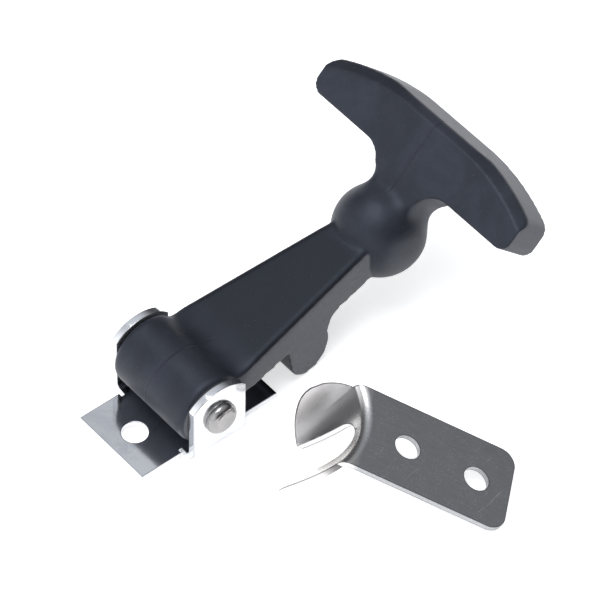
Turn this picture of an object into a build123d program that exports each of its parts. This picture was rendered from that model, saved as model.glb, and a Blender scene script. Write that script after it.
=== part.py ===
from build123d import *
from math import asin, atan2, degrees, hypot, sqrt
import os

# A flexible draw latch: a pressed bracket, a pivot pin, a one-piece rubber pull and a forked keeper.
# Origin: centre of the bracket's two screw holes, on its mounting face.
# X runs from the bracket towards the pull's grip, Y runs along the pivot pin, Z is up.

# bracket
sheet = 1.7
plate_length = 36.6
plate_width = 21.0
hole_spacing = 23.7
screw_hole_radius = 2.9
bend_radius = 1.5
ear_width = 14.0
ear_crown_radius = 9.35
ear_crown_height = 18.9
ear_corner_radius = 2.6
relief_width = 0.8
relief_depth = 1.0
pin_height = 10.6

# pivot pin
pin_radius = 2.5
ear_clearance = 0.05
bore_clearance = 0.1
head_radius = 3.8
head_height = 2.0
head_edge_radius = 1.6
tail_radius = 3.4
tail_height = 1.2
tail_edge_radius = 0.8

# pull: its own frame has the pin's axis at the origin, S along the strap, N square to it
barrel_clearance = 0.3
strap_top = 4.15
strap_root_thickness = 6.75
strap_end_thickness = 9.6
strap_root = 8.0
strap_end = 52.0
strap_root_half_width = 11.7
strap_end_half_width = 5.6
strap_edge_radius = 1.5
barrel_edge_radius = bend_radius
lug_radius = 5.8
lug_along = 27.6
lug_below = 9.55
lug_blend_radius = 4.5
bulb_radius = 10.5
bulb_along = 55.75
bulb_below = 0.95

# grip: a T whose flat face leans back from the strap
grip_angle = 35.0
face_along = 61.0
face_above = 9.37
grip_thickness = 10.2
grip_half_length = 31.4
grip_near_edge = 4.5
grip_far_edge = 17.9
grip_end_far_edge = 12.6
grip_straight_half_length = 8.0
grip_corner_radius = 3.0
neck_half_width = 6.4
neck_blend_radius = 6.5
bevel_width = 2.3
far_edge_draft = 0.6

# keeper: its own frame has its mounting face at Z 0, its far end at X 0 and its fork upright
keeper_sheet = 1.3
keeper_width = 21.2
keeper_corner_radius = 3.8
keeper_hole_radius = 2.9
keeper_hole_first = 8.0
keeper_hole_spacing = 16.3
roll_radius = 0.8
dish_root_radius = 19.5
dish_tip_radius = 12.0
dish_bulge = 0.9
dish_half_height = 12.5
dish_lean = 0.0
dish_mid_height = 10.5
dish_depth_x = 37.0
fork_height = 20.6
fork_half_width = 13.5
fork_widest = 8.5
waist_height = 2.0
prong_shoulder = 10.2
prong_shoulder_height = 18.0
mouth_half_width = 4.9
mouth_height = 20.2
slot_half_width = 4.6
slot_root_height = 3.4

# where the keeper lies beside the latch
keeper_end_x = 38.35
keeper_end_y = -61.65
keeper_heading = -49.8
settling_steps = 12

# how close counts as the same place when an edge is picked out
near = 0.01


def bar(x0, x1, y0, y1, z0, z1):
    """A box between two opposite corners."""
    return Pos((x0 + x1) / 2, (y0 + y1) / 2, (z0 + z1) / 2) * Box(x1 - x0, y1 - y0, z1 - z0)


def across(face_outline, half_width):
    """A solid of an outline drawn on the XZ plane, thickened both ways along Y."""
    return extrude(face_outline, half_width, both=True)


def screw_hole(x, y, radius):
    """A cutter for a round hole through a plate that lies on Z 0."""
    return Pos(x, y, 0) * Cylinder(radius, 4 * sheet)


# bracket ------------------------------------------------------------------------------------

ear_gap = plate_width + 2 * bend_radius
ear_outer = ear_gap / 2 + sheet


def ear_strip():
    """One ear before its outline is cut: it leaves the plate's edge through a bend."""
    bend_centre = (plate_width / 2, sheet + bend_radius)
    tall = ear_crown_height + 1
    with BuildSketch(Plane.YZ) as section:
        with Locations(bend_centre):
            Circle(sheet + bend_radius)
            Circle(bend_radius, mode=Mode.SUBTRACT)
        keep = (plate_width / 2, 0, ear_outer, bend_centre[1])
        with Locations(((keep[0] + keep[2]) / 2, (keep[1] + keep[3]) / 2)):
            Rectangle(keep[2] - keep[0], keep[3] - keep[1], mode=Mode.INTERSECT)
        with Locations((ear_outer - sheet / 2, (bend_centre[1] + tall) / 2)):
            Rectangle(sheet, tall - bend_centre[1])
    return extrude(section.sketch, ear_width / 2, both=True)


def ear_outline():
    """The ear's face: straight sides under a shallow crown with rounded corners."""
    crown_centre = ear_crown_height - ear_crown_radius
    with BuildSketch(Plane.XZ) as outline:
        with Locations((0, crown_centre)):
            Circle(ear_crown_radius)
        with Locations((0, crown_centre / 2)):
            Rectangle(2 * ear_crown_radius, crown_centre)
        with Locations((0, ear_crown_height / 2)):
            Rectangle(ear_width, ear_crown_height, mode=Mode.INTERSECT)
        corners = outline.vertices().filter_by(lambda v: v.Z > crown_centre)
        fillet(corners, ear_corner_radius)
    return across(outline.sketch, ear_outer + 1)


def make_bracket():
    plate = bar(-plate_length / 2, plate_length / 2, -plate_width / 2, plate_width / 2, 0, sheet)
    for side in (-1, 1):
        plate -= screw_hole(side * hole_spacing / 2, 0, screw_hole_radius)
        for end in (-1, 1):
            x = end * (ear_width + relief_width) / 2
            y = side * (plate_width - relief_depth) / 2
            plate -= Pos(x, y, 0) * Box(relief_width, relief_depth, 4 * sheet)
    strip = ear_strip()
    ears = (strip + mirror(strip, Plane.XZ)) & ear_outline()
    pin_hole = Pos(0, 0, pin_height) * Rot(90, 0, 0) * Cylinder(pin_radius + ear_clearance, 4 * ear_outer)
    return plate + ears - pin_hole


# pivot pin ----------------------------------------------------------------------------------

def make_pin():
    """A headed pin whose far end is peened over the other ear."""
    profile = [
        (0, -ear_outer - head_height),
        (head_radius, -ear_outer - head_height),
        (head_radius, -ear_outer),
        (pin_radius, -ear_outer),
        (pin_radius, ear_outer),
        (tail_radius, ear_outer),
        (tail_radius, ear_outer + tail_height),
        (0, ear_outer + tail_height),
    ]
    with BuildSketch(Plane.XY) as half:
        Polygon(*profile, align=None)
        fillet(half.vertices().sort_by_distance((head_radius, profile[1][1]))[0], head_edge_radius)
        fillet(half.vertices().sort_by_distance((tail_radius, profile[6][1]))[0], tail_edge_radius)
    return Pos(0, 0, pin_height) * revolve(half.sketch, Axis.Y)


# pull ---------------------------------------------------------------------------------------

barrel_radius = pin_height - sheet - barrel_clearance
barrel_half_length = ear_gap / 2 - barrel_clearance


def strap_under(s):
    """Height of the strap's underside at a distance along it."""
    share = (s - strap_root) / (strap_end - strap_root)
    thickness = strap_root_thickness + share * (strap_end_thickness - strap_root_thickness)
    return strap_top - thickness


def make_strap():
    """The tapered strap with its lug, with the top's long edges rounded."""
    with BuildSketch(Plane.XZ) as side:
        Polygon(
            (0, strap_top),
            (0, strap_under(0)),
            (strap_end, strap_under(strap_end)),
            (strap_end, strap_top),
            align=None,
        )
        lug_top = strap_under(lug_along)
        with Locations((lug_along, -lug_below)):
            Circle(lug_radius)
        with Locations((lug_along, (lug_top - lug_below) / 2)):
            Rectangle(2 * lug_radius, lug_top + lug_below)
        root_along = lug_along + lug_radius
        root = side.vertices().sort_by_distance((root_along, 0, strap_under(root_along)))
        fillet(root[0], lug_blend_radius)
    half = strap_root_half_width
    end_half = strap_end_half_width
    with BuildSketch(Plane.XY) as plan:
        Polygon(
            (0, -half), (strap_root, -half), (strap_end, -end_half),
            (strap_end, end_half), (strap_root, half), (0, half),
            align=None,
        )
    strap = across(side.sketch, 2 * half) & extrude(plan.sketch, 4 * bulb_radius, both=True)
    long_edges = strap.edges().filter_by(lambda e: e.center().Z > strap_top - near and abs(e.center().Y) > 1)
    return fillet(long_edges, strap_edge_radius)


def grip_outline():
    """The T as seen square to its face, with the neck that runs back into the bulb."""
    with BuildSketch() as outline:
        with BuildLine():
            Polyline(
                (grip_far_edge, 0),
                (-bulb_radius, 0),
                (-bulb_radius, neck_half_width),
                (grip_near_edge, neck_half_width),
                (grip_near_edge, grip_half_length),
                (grip_end_far_edge, grip_half_length),
            )
            crown = Line((grip_far_edge, 0), (grip_far_edge, grip_straight_half_length))
            TangentArc(crown @ 1, (grip_end_far_edge, grip_half_length), tangent=crown % 1)
        make_face()
        mirror(about=Plane.XZ)
        inner = outline.vertices().filter_by(lambda v: abs(abs(v.Y) - neck_half_width) < near and v.X > 0)
        fillet(inner, neck_blend_radius)
        ends = outline.vertices().filter_by(lambda v: abs(v.Y) > grip_half_length - near)
        fillet(ends, grip_corner_radius)
    return extrude(outline.sketch, 2 * grip_thickness, both=True)


def grip_section():
    """The T seen end on: a flat face and a slightly drafted far side."""
    with BuildSketch(Plane.XZ) as section:
        Polygon(
            (-2 * bulb_radius, 0),
            (grip_far_edge - far_edge_draft, 0),
            (grip_far_edge, -grip_thickness),
            (-2 * bulb_radius, -grip_thickness),
            align=None,
        )
    return across(section.sketch, 2 * grip_half_length)


def crown_bevel():
    """A block under the T's crown whose top narrows, which leaves a bevel along the face's far edge."""
    seam = Plane.XY.offset(-bevel_width)
    with BuildSketch(seam) as crown_side:
        with BuildLine():
            Polyline(
                (grip_far_edge, 0),
                (-4 * bulb_radius, 0),
                (-4 * bulb_radius, 2 * grip_half_length),
                (grip_end_far_edge, 2 * grip_half_length),
                (grip_end_far_edge, grip_half_length),
            )
            crown = Line((grip_far_edge, 0), (grip_far_edge, grip_straight_half_length))
            TangentArc(crown @ 1, (grip_end_far_edge, grip_half_length), tangent=crown % 1)
        make_face()
        mirror(about=Plane.XZ)
    above = mirror(extrude(crown_side.sketch, bevel_width, taper=45), seam)
    below = bar(-4 * bulb_radius, 2 * grip_far_edge, -grip_half_length, grip_half_length,
                -2 * grip_thickness, -bevel_width)
    return above + below


def make_grip():
    """The T with a bevel along the far edge of its face."""
    return grip_outline() & grip_section() & crown_bevel()


def in_pull_frame(piece):
    """Put the grip at the end of the strap."""
    return Pos(face_along, 0, face_above) * Rot(0, -grip_angle, 0) * piece


def rest_angle():
    """The strap's rise when its lug stands on the surface that the bracket is fixed to."""
    reach = hypot(lug_along, lug_below)
    return degrees(asin((lug_radius - pin_height) / reach) + atan2(lug_below, lug_along))


def make_pull():
    barrel = Rot(90, 0, 0) * Cylinder(barrel_radius, 2 * barrel_half_length)
    barrel = fillet(barrel.edges().filter_by(GeomType.CIRCLE), barrel_edge_radius)
    bulb = Pos(bulb_along, 0, -bulb_below) * Sphere(bulb_radius)
    pull = barrel + make_strap() + bulb + in_pull_frame(make_grip())
    pull -= Rot(90, 0, 0) * Cylinder(pin_radius + bore_clearance, 4 * barrel_half_length)
    return Pos(0, 0, pin_height) * Rot(0, -rest_angle(), 0) * pull


# keeper -------------------------------------------------------------------------------------

dish_mid_radius = (dish_root_radius + dish_tip_radius) / 2
dish_axis_x = dish_depth_x + dish_mid_radius + dish_bulge


def dish_core(offset):
    """A bulged cone that fills the dish, grown by an offset, on its leaning axis."""
    root = (dish_root_radius + offset, -dish_half_height)
    middle = (dish_mid_radius + dish_bulge + offset, 0)
    tip = (dish_tip_radius + offset, dish_half_height)
    with BuildSketch(Plane.XZ) as section:
        with BuildLine():
            Polyline(root, (0, -dish_half_height), (0, dish_half_height), tip)
            ThreePointArc(tip, middle, root)
        make_face()
    core = revolve(section.sketch, Axis.Z)
    return Pos(dish_axis_x, 0, dish_mid_height) * Rot(0, dish_lean, 0) * core


def fork_outline():
    """The plate's width, then two prongs either side of a slot, as seen along the keeper."""
    half = keeper_width / 2
    root_centre = slot_root_height + slot_half_width
    shoulder = (prong_shoulder, prong_shoulder_height)
    mouth = (mouth_half_width, mouth_height)
    with BuildSketch(Plane.YZ) as outline:
        with BuildLine():
            Polyline((0, slot_root_height), (0, -keeper_sheet), (half, -keeper_sheet), (half, waist_height))
            flank = ThreePointArc((half, waist_height), (fork_half_width, fork_widest), shoulder)
            TangentArc(shoulder, mouth, tangent=flank % 1)
            Line(mouth, (slot_half_width, root_centre))
            RadiusArc((slot_half_width, root_centre), (0, slot_root_height), slot_half_width)
        make_face()
        mirror(about=Plane.YZ)
    return extrude(outline.sketch, dish_axis_x)


def roll_edge(blank, height):
    """The curved edge at a height where the plate turns up into the dish."""
    curved = blank.edges().filter_by(lambda e: e.geom_type != GeomType.LINE)
    return curved.filter_by(lambda e: abs(e.center().Z - height) < near).sort_by(Axis.X)[0]


def make_keeper():
    """The keeper in its own frame: a plate that rolls up into a dished fork."""
    wide = 2 * fork_half_width
    plate = bar(0, dish_axis_x, -wide / 2, wide / 2, 0, keeper_sheet)
    wall = dish_core(keeper_sheet) & bar(0, dish_axis_x, -wide / 2, wide / 2, 0, fork_height + 1)
    blank = plate + wall - dish_core(0)
    blank = fillet(roll_edge(blank, keeper_sheet), roll_radius)
    blank = fillet(roll_edge(blank, 0), roll_radius + keeper_sheet)
    blank &= fork_outline()
    far_corners = blank.edges().filter_by(Axis.Z).sort_by(Axis.X)[:2]
    keeper = fillet(far_corners, keeper_corner_radius)
    for number in range(2):
        keeper -= screw_hole(keeper_hole_first + number * keeper_hole_spacing, 0, keeper_hole_radius)
    return keeper


def lay_down(keeper):
    """Turn the keeper over so that it stands on its far end and its prong tips, beside the latch."""
    over = Pos(0, 0, keeper_sheet) * Rot(180, 0, 0) * keeper
    reach = over.bounding_box().max.X
    tilt = 0
    for _ in range(settling_steps):
        lowest = (Rot(0, -tilt, 0) * over).bounding_box().min.Z
        tilt += degrees(atan2(-lowest, reach))
    return Pos(keeper_end_x, keeper_end_y, 0) * Rot(0, 0, keeper_heading + 180) * Rot(0, -tilt, 0) * over


if __name__ == "__main__":
    os.makedirs("parts", exist_ok=True)
    export_step(make_bracket(), "parts/bracket.step")
    export_step(make_pin(), "parts/pivot_pin.step")
    export_step(make_pull(), "parts/rubber_pull.step")
    export_step(lay_down(make_keeper()), "parts/keeper.step")
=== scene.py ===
import math
import bmesh
import bpy
import numpy as np
from mathutils import Matrix, Vector


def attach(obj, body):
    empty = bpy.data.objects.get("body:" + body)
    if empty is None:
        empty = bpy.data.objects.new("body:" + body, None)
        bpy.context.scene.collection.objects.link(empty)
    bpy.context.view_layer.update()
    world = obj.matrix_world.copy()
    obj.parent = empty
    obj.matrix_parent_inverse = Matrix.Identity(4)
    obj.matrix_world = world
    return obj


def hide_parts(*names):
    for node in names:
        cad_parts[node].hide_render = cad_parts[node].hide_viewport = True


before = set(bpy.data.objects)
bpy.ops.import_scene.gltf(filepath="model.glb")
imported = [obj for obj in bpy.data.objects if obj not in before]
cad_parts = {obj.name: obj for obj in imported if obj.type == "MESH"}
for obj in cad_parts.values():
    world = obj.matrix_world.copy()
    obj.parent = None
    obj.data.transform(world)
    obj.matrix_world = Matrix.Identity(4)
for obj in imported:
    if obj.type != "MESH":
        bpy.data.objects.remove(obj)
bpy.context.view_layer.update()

# A flexible draw latch: a plated bracket and pin, a moulded rubber pull and a brushed keeper.
MM = 0.001


# shader arithmetic --------------------------------------------------------------------------

class Number:
    """One value of a finish. Arithmetic on it adds Math nodes."""

    def __init__(self, finish, socket):
        self.finish = finish
        self.socket = socket

    def maths(self, operation, *values):
        return self.finish.add("ShaderNodeMath", {"operation": operation}, dict(enumerate(values)))

    def __add__(self, other):
        return self.maths("ADD", self, other)

    def __radd__(self, other):
        return self.maths("ADD", other, self)

    def __sub__(self, other):
        return self.maths("SUBTRACT", self, other)

    def __rsub__(self, other):
        return self.maths("SUBTRACT", other, self)

    def __mul__(self, other):
        return self.maths("MULTIPLY", self, other)

    def __rmul__(self, other):
        return self.maths("MULTIPLY", other, self)

    def __abs__(self):
        return self.maths("ABSOLUTE", self)

    def rises(self, low, high):
        """0 below the low value, 1 above the high one, and a smooth rise between them."""
        settings = {"interpolation_type": "SMOOTHSTEP"}
        sockets = {"Value": self, "From Min": low, "From Max": high}
        return self.finish.add("ShaderNodeMapRange", settings, sockets)


# The Mix node has several sockets of each name, so its colour ones go by number.
MIX_FACTOR, MIX_FIRST, MIX_SECOND = 0, 6, 7
MIX_COLOUR = 2


class Nodes:
    """A node tree that arithmetic and named nodes are added to."""

    def __init__(self, tree, coordinates):
        self.tree = tree
        self.place = self.add("ShaderNodeTexCoord", {}, {}, coordinates)
        self.x = self.add("ShaderNodeSeparateXYZ", {}, {"Vector": self.place}, "X")
        self.y = Number(self, self.x.socket.node.outputs["Y"])
        self.z = Number(self, self.x.socket.node.outputs["Z"])

    def add(self, kind, settings, sockets, output=0):
        """Adds a node. Its settings go first, then the value or link of each socket."""
        node = self.tree.nodes.new(kind)
        for name, value in settings.items():
            setattr(node, name, value)
        for name, value in sockets.items():
            if isinstance(value, Number):
                self.tree.links.new(value.socket, node.inputs[name])
            else:
                node.inputs[name].default_value = value
        return Number(self, node.outputs[output])

    def noise(self, scale, detail=2.0, roughness=0.5, along=None, warp=0.0):
        """Cloudy noise, from 0 to 1. A vector can stretch it."""
        sockets = {"Vector": along or self.place, "Scale": scale, "Detail": detail}
        sockets.update({"Roughness": roughness, "Distortion": warp})
        return self.add("ShaderNodeTexNoise", {}, sockets, "Fac")

    def cells(self, scale):
        """Distance to the nearest of many scattered points."""
        sockets = {"Vector": self.place, "Scale": scale}
        return self.add("ShaderNodeTexVoronoi", {}, sockets, "Distance")

    def vector(self, x, y, z):
        """A place made from three values."""
        return self.add("ShaderNodeCombineXYZ", {}, {"X": x, "Y": y, "Z": z})

    def mix(self, factor, first, second):
        """A colour between two others."""
        sockets = {MIX_FACTOR: factor}
        sockets[MIX_FIRST] = self._colour(first)
        sockets[MIX_SECOND] = self._colour(second)
        return self.add("ShaderNodeMix", {"data_type": "RGBA"}, sockets, MIX_COLOUR)

    @staticmethod
    def _colour(value):
        return value if isinstance(value, Number) else (*value, 1)


class Finish(Nodes):
    """A material that is built up from one Principled shader."""

    def __init__(self, name, **shader_values):
        self.material = bpy.data.materials.new(name)
        self.material.use_nodes = True
        super().__init__(self.material.node_tree, "Object")
        self.shader = self.tree.nodes["Principled BSDF"]
        for name, value in shader_values.items():
            self.shader.inputs[name.replace("_", " ")].default_value = value

    def set(self, name, value):
        """Links a value to one of the shader's own sockets."""
        self.tree.links.new(value.socket, self.shader.inputs[name])

    def near_edge(self, radius):
        """1 along sharp edges and 0 away from them, over about this radius."""
        rounded = self.add("ShaderNodeBevel", {"samples": 8}, {"Radius": radius})
        plain = self.add("ShaderNodeNewGeometry", {}, {}, "Normal")
        pair = {0: rounded, 1: plain}
        same = self.add("ShaderNodeVectorMath", {"operation": "DOT_PRODUCT"}, pair, "Value")
        return (1 - same).rises(0.01, 0.07)

    def bump(self, height, distance, strength=1.0):
        sockets = {"Height": height, "Distance": distance, "Strength": strength}
        self.set("Normal", self.add("ShaderNodeBump", {}, sockets, "Normal"))


# finishes -----------------------------------------------------------------------------------

def along_x(finish, start, end, fade_in, fade_out):
    """1 between two distances along x from the pin, in mm, with a fade inside each end."""
    begins = finish.x.rises(start * MM, (start + fade_in) * MM)
    ends = finish.x.rises((end - fade_out) * MM, end * MM)
    return begins * (1 - ends)


def moulded_rubber():
    """Satin black rubber with a dusty bloom, fine pits and a parting line, and painted light: paler
    sides and a paler far edge on the grip.
    """
    rubber = Finish("moulded_rubber", IOR=1.4, Specular_Tint=(0.74, 0.84, 1.0, 1.0))
    facing = rubber.add("ShaderNodeTexCoord", {}, {}, "Normal")
    facing_x = rubber.add("ShaderNodeSeparateXYZ", {}, {"Vector": facing}, "X")
    facing_y = Number(rubber, facing_x.socket.node.outputs["Y"])
    bloom = rubber.noise(90, 4, 0.6, warp=0.6)
    mottle = rubber.noise(620, 3, 0.6)
    grit = rubber.noise(1400, 3, 0.7)
    specks = 1 - rubber.cells(1300).rises(0.05, 0.15)
    dust = specks * rubber.noise(300, 2).rises(0.5, 0.62)
    # Most of the bloom is left off the strap, from 6 to 50 mm along x, so the strap is darker there.
    on_strap = along_x(rubber, 6, 50, 10, 8)
    dusty = (0.5 + 0.5 * bloom.rises(0.35, 0.7)) * (1 - 0.85 * on_strap)
    shade = rubber.mix(dusty, (0.004, 0.0043, 0.0068), (0.0215, 0.0235, 0.032))
    # Faces turned towards either side, less so on the bulb, are painted paler grey: painted light for
    # the sheen they catch, only speckled by the grit.
    on_bulb = along_x(rubber, 47, 64, 2, 3)
    side_painted_light = abs(facing_y).rises(0.75, 0.97) * (1 - 0.6 * on_bulb)
    # The grip's far edge, where its faces turn towards +x, is painted paler: a painted highlight along
    # that edge, mottled by the bloom.
    far_edge_painted_light = facing_x.rises(0.0, 0.6) * rubber.x.rises(66 * MM, 70 * MM)
    shade = rubber.mix(side_painted_light * (0.55 + 0.45 * grit), shade, (0.13, 0.13, 0.137))
    shade = rubber.mix(far_edge_painted_light * (0.5 + 0.4 * bloom), shade, (0.16, 0.16, 0.17))
    rubber.set("Base Color", rubber.mix(dust * 0.5, shade, (0.09, 0.10, 0.12)))
    rubber.set("Roughness", 0.37 + 0.10 * mottle + 0.10 * bloom + 0.2 * side_painted_light)
    off_strap = 1 - along_x(rubber, 8, 60, 2, 4)
    parting = (1 - abs(rubber.y).rises(0.05 * MM, 0.25 * MM)) * off_strap
    height = mottle * 0.15 + specks * 0.3 + bloom * 0.5 - parting * 1.2
    rubber.bump(height, 0.12 * MM, 0.8)
    return rubber.material


def plated_steel(name, bright, worn, roughness):
    """Nickel plate with a slight orange peel and a few handling marks."""
    plate = Finish(name, Metallic=1.0)
    peel = plate.noise(260, 3, 0.5)
    marks = plate.noise(60, 5, 0.7, warp=1.0)
    tone = plate.mix(marks.rises(0.4, 0.7), bright, worn)
    # The dark lines along sharp edges are painted: a painted dark reflection, as eased edges catch one
    # from the surroundings.
    plate.set("Base Color", plate.mix(plate.near_edge(0.45 * MM), tone, (0.20, 0.20, 0.21)))
    plate.set("Roughness", roughness + 0.07 * marks + 0.03 * peel)
    plate.bump(peel + marks * 0.5, 0.012 * MM, 0.6)
    return plate.material


def brushed_keeper(heading, tilt, far_end):
    """Steel brushed across the plate, with bright specks and scratches, and polished in the dish."""
    steel = Finish("brushed_keeper", Metallic=1.0)
    turn, lean = math.radians(heading), math.radians(tilt)
    ahead = (math.cos(turn) * math.cos(lean), math.sin(turn) * math.cos(lean), math.sin(lean))
    aside = (math.sin(turn), -math.cos(turn), 0)
    from_end = [steel.x - far_end[0], steel.y - far_end[1], steel.z]
    along = from_end[0] * ahead[0] + from_end[1] * ahead[1] + from_end[2] * ahead[2]
    across = from_end[0] * aside[0] + from_end[1] * aside[1]
    brushing = steel.vector(along * 250, across * 2600, steel.z * 400)
    scratching = steel.vector(along * 900 + across * 500, across * 60 - along * 40, steel.z * 60)
    grain = steel.noise(1.0, 4, 0.7, along=brushing)
    scratches = steel.noise(1.0, 3, 0.6, along=scratching).rises(0.66, 0.72)
    clouds = steel.noise(150, 4, 0.6)
    specks = (1 - steel.cells(2300).rises(0.12, 0.32)) * steel.noise(320, 2).rises(0.34, 0.6)
    polished = along.rises(33.5 * MM, 35.5 * MM)
    plain = 1 - polished
    tone = steel.mix(grain.rises(0.3, 0.7), (0.36, 0.365, 0.375), (0.41, 0.415, 0.425))
    tone = steel.mix((specks * 0.5 + scratches * 0.35) * plain, tone, (0.86, 0.87, 0.88))
    tone = steel.mix(polished, tone, (0.72, 0.70, 0.685))
    # The dark lines along sharp edges are painted: a painted dark reflection, as eased edges catch one
    # from the surroundings.
    steel.set("Base Color", steel.mix(steel.near_edge(0.45 * MM), tone, (0.13, 0.13, 0.14)))
    steel.set("Roughness", 0.20 + plain * (0.06 + 0.10 * grain) + clouds * 0.06)
    steel.bump((grain * 0.3 + specks * 0.9) * plain + steel.noise(110, 1) * 0.5, 0.02 * MM, 0.7)
    return steel.material


# pieces -------------------------------------------------------------------------------------

def neighbours(mesh):
    """Both ends of every edge, each way round, and how many edges meet at each point."""
    ends = np.empty(2 * len(mesh.edges), dtype=np.int64)
    mesh.edges.foreach_get("vertices", ends)
    one, other = ends[0::2], ends[1::2]
    heads = np.concatenate((one, other))
    tails = np.concatenate((other, one))
    return heads, tails, np.bincount(heads, minlength=len(mesh.vertices))


def relax(mesh, strength, rounds):
    """Moves each point towards the middle of its neighbours, by its own strength, over some rounds."""
    count = len(mesh.vertices)
    points = np.empty(3 * count)
    mesh.vertices.foreach_get("co", points)
    points = points.reshape(count, 3)
    heads, tails, meeting = neighbours(mesh)
    for _ in range(rounds):
        for axis in range(3):
            middle = np.bincount(heads, weights=points[tails, axis], minlength=count) / meeting
            points[:, axis] += strength * (middle - points[:, axis])
    mesh.vertices.foreach_set("co", points.ravel())
    mesh.update()


def nearness(mesh, around):
    """From 0 to 1 for each point: 1 inside any spot's radius, fading out over its fade, in mm."""
    count = len(mesh.vertices)
    points = np.empty(3 * count)
    mesh.vertices.foreach_get("co", points)
    points = points.reshape(count, 3)
    most = np.zeros(count)
    for centre, radius, fade in around:
        apart = np.linalg.norm(points - np.array(centre), axis=1)
        most = np.maximum(most, np.clip((radius + fade - apart / MM) / fade, 0, 1))
    return most


def loose_copy(node, name):
    """A free copy of a solid's mesh with its split points joined."""
    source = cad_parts[node]
    mesh = source.data.copy()
    mesh.transform(source.matrix_world)
    work = bmesh.new()
    work.from_mesh(mesh)
    same_point = 0.002 * MM
    bmesh.ops.remove_doubles(work, verts=work.verts, dist=same_point)
    work.to_mesh(mesh)
    work.free()
    piece = bpy.data.objects.new(name, mesh)
    bpy.context.collection.objects.link(piece)
    return piece


def settle(piece):
    """Makes a piece's modifiers permanent."""
    view = bpy.context.evaluated_depsgraph_get()
    shape = bpy.data.meshes.new_from_object(piece.evaluated_get(view))
    piece.modifiers.clear()
    piece.data = shape
    shape.name = piece.name
    return shape


def soft_copy(node, name, voxel, blends):
    """An evenly meshed copy of a solid with relaxed edges, relaxed further near some spots."""
    piece = loose_copy(node, name)
    remesh = piece.modifiers.new("even_mesh", "REMESH")
    remesh.mode = "VOXEL"
    remesh.voxel_size = voxel
    shape = settle(piece)
    half_way = 0.5
    for rounds, around in blends:
        relax(shape, half_way * nearness(shape, around), rounds)
    relax(shape, half_way, 2)
    for face in shape.polygons:
        face.use_smooth = True
    return piece


def eased_copy(node, name, width):
    """A copy of a metal solid with its sharp edges eased by a small rounded bevel."""
    piece = loose_copy(node, name)
    work = bmesh.new()
    work.from_mesh(piece.data)
    flat_within = math.radians(0.2)
    bmesh.ops.dissolve_limit(work, angle_limit=flat_within, verts=work.verts, edges=work.edges)
    work.to_mesh(piece.data)
    work.free()
    bevel = piece.modifiers.new("eased_edges", "BEVEL")
    bevel.limit_method = "ANGLE"
    bevel.angle_limit = math.radians(35)
    bevel.width = width
    bevel.segments = 2
    flatten = piece.modifiers.new("flat_faces", "WEIGHTED_NORMAL")
    flatten.weight = 100
    for face in piece.data.polygons:
        face.use_smooth = True
    settle(piece)
    return piece


def stand_in(piece, material, node, body):
    """Gives a new piece its material and lets it stand for a CAD node, on that node's body."""
    piece.data.materials.clear()
    piece.data.materials.append(material)
    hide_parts(node)
    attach(piece, body)


plate = plated_steel("plated_steel", bright=(0.76, 0.77, 0.79), worn=(0.64, 0.65, 0.68),
                     roughness=0.06)
pin_steel = plated_steel("pin_steel", bright=(0.34, 0.33, 0.325), worn=(0.26, 0.255, 0.25),
                         roughness=0.14)
keeper_heading = 130.2
keeper_tilt = 25.3
keeper_far_end = (38.35 * MM, -61.65 * MM)
keeper_steel = brushed_keeper(keeper_heading, keeper_tilt, keeper_far_end)
bracket = eased_copy("bracket", "plated_bracket", 0.2 * MM)
pin = eased_copy("pivot_pin", "plated_pin", 0.15 * MM)
keeper = eased_copy("keeper", "brushed_fork", 0.22 * MM)
stand_in(bracket, plate, "bracket", "bracket")
stand_in(pin, pin_steel, "pivot_pin", "bracket")
stand_in(keeper, keeper_steel, "keeper", "keeper")

pin_height = 10.6 * MM
strap_rise = math.radians(9.65)


def on_pull(along, across, above):
    """A place on the pull, by its distance along the strap, to one side and above the pin's axis."""
    forward = along * math.cos(strap_rise) - above * math.sin(strap_rise)
    up = along * math.sin(strap_rise) + above * math.cos(strap_rise)
    return forward * MM, across * MM, pin_height + up * MM


def spots(places, radius, fade):
    """Where to relax the rubber: places on the pull, each with a radius and a fade in mm."""
    return [(on_pull(*place), radius, fade) for place in places]


barrel_sides = (-11.7, 11.7)
tip_sides = (-5.5, 5.5)
neck_sides = (-6.4, 6.4)
neck_line = ((57.8, 7.1), (60.3, 5.6), (62.3, 4.2), (63.5, 1.6), (64.1, -0.9))
barrel_top = spots([(along, side, 4.2) for along in (8, 10) for side in (-6, -3, 0, 3, 6)], 2.0, 2.8)
barrel_side = spots([(7.5, side, above) for side in barrel_sides for above in (-2, 1, 4)], 1.0, 2.5)
strap_tip = spots([(47.0, side, 3.8) for side in (-5, -2.5, 0, 2.5, 5)], 0.6, 1.6)
strap_tip += spots([(47.5, side, above) for side in tip_sides for above in (1, -2, -5)], 0.6, 1.8)
neck = spots([(along, side, above) for along, above in neck_line for side in neck_sides], 1.6, 3.4)
neck += spots([(59.6, side, 8.2) for side in (-4, 0, 4)], 1.4, 3.0)
pull = soft_copy("rubber_pull", "moulded_pull", 0.4 * MM,
                 ((170, barrel_top), (30, barrel_side), (10, strap_tip), (80, neck)))
stand_in(pull, moulded_rubber(), "rubber_pull", "pull")


# studio -------------------------------------------------------------------------------------

def make_floor():
    """A wide sheet of pale paper that glows a little, so that it stays evenly bright."""
    half = 3.0
    mesh = bpy.data.meshes.new("studio_floor")
    corners = [(-half, -half, 0), (half, -half, 0), (half, half, 0), (-half, half, 0)]
    mesh.from_pydata(corners, [], [(0, 1, 2, 3)])
    floor = bpy.data.objects.new("studio_floor", mesh)
    bpy.context.collection.objects.link(floor)
    paper = Finish("studio_paper", Roughness=0.9, Emission_Strength=0.60)
    paper.shader.inputs["Emission Color"].default_value = (1, 1, 1, 1)
    paper.set("Base Color", paper.mix(paper.noise(4), (0.86, 0.86, 0.86), (0.90, 0.90, 0.90)))
    mesh.materials.append(paper.material)


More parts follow.
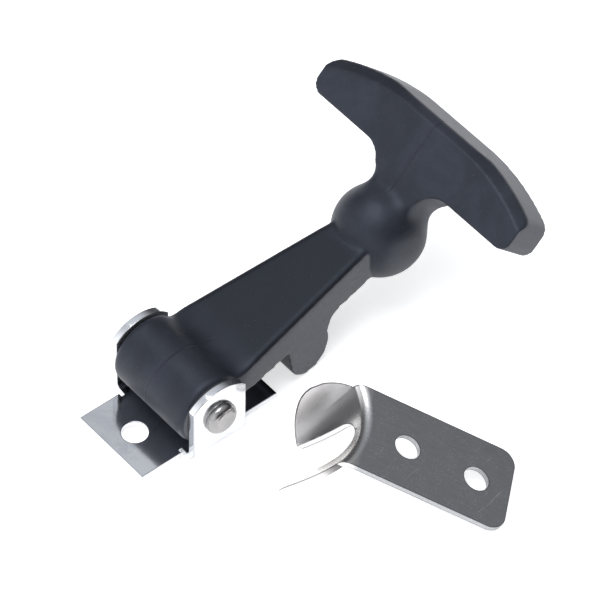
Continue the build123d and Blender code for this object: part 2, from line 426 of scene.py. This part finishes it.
def make_light(name, place, target, size, watts):
    """A soft box that points at a target."""
    lamp = bpy.data.lights.new(name, "AREA")
    lamp.shape = "RECTANGLE"
    lamp.size, lamp.size_y = size
    lamp.energy = watts
    holder = bpy.data.objects.new(name, lamp)
    holder.location = place
    direction = Vector(target) - Vector(place)
    holder.rotation_euler = direction.to_track_quat("-Z", "Y").to_euler()
    bpy.context.collection.objects.link(holder)


def make_world():
    """Studio air: dim near the floor, brighter overhead, with a bright wall on the left."""
    world = bpy.data.worlds.new("studio_air")
    bpy.context.scene.world = world
    world.use_nodes = True
    air = Nodes(world.node_tree, "Generated")
    overhead = air.z.rises(0.35, 0.95)
    left_wall = (0 - air.x).rises(0.25, 0.85) * (1 - air.z.rises(0.7, 1.0))
    colour = air.mix(overhead, (0.10, 0.10, 0.105), (0.76, 0.79, 0.84))
    colour = air.mix(left_wall, colour, (1.45, 1.47, 1.52))
    background = world.node_tree.nodes["Background"]
    world.node_tree.links.new(colour.socket, background.inputs["Color"])
    background.inputs["Strength"].default_value = 1.0


def make_camera(azimuth, elevation, roll, distance, aim, lens_mm):
    """A long-lens camera that looks down at an aim point on the latch, from a distance in metres."""
    az, el, ro = (math.radians(angle) for angle in (azimuth, elevation, roll))
    level = Vector((math.sin(az), math.cos(az), 0))
    up = Vector((0, 0, 1))
    right = Vector((math.cos(az), -math.sin(az), 0))
    down = -(level * math.sin(el) + up * math.cos(el))
    ahead = level * math.cos(el) - up * math.sin(el)
    rolled_right = right * math.cos(ro) - down * math.sin(ro)
    rolled_down = right * math.sin(ro) + down * math.cos(ro)
    lens = bpy.data.cameras.new("camera")
    lens.sensor_width = 36
    lens.lens = lens_mm
    lens.clip_start = 0.01
    camera = bpy.data.objects.new("camera", lens)
    turn = Matrix((rolled_right, -rolled_down, -ahead)).transposed()
    camera.matrix_world = Matrix.Translation(Vector(aim) - distance * ahead) @ turn.to_4x4()
    bpy.context.collection.objects.link(camera)
    bpy.context.scene.camera = camera
    bpy.context.scene.view_settings.view_transform = "Standard"


make_floor()
make_world()
make_light("overhead_softbox", (-0.1, 0.1, 1.1), (0.03, 0, 0), (0.7, 0.7), 7)
make_camera(azimuth=41.04, elevation=48.55, roll=1.52, distance=1.02635,
            aim=(0.030730, -0.002888, 0.015896), lens_mm=290.765)
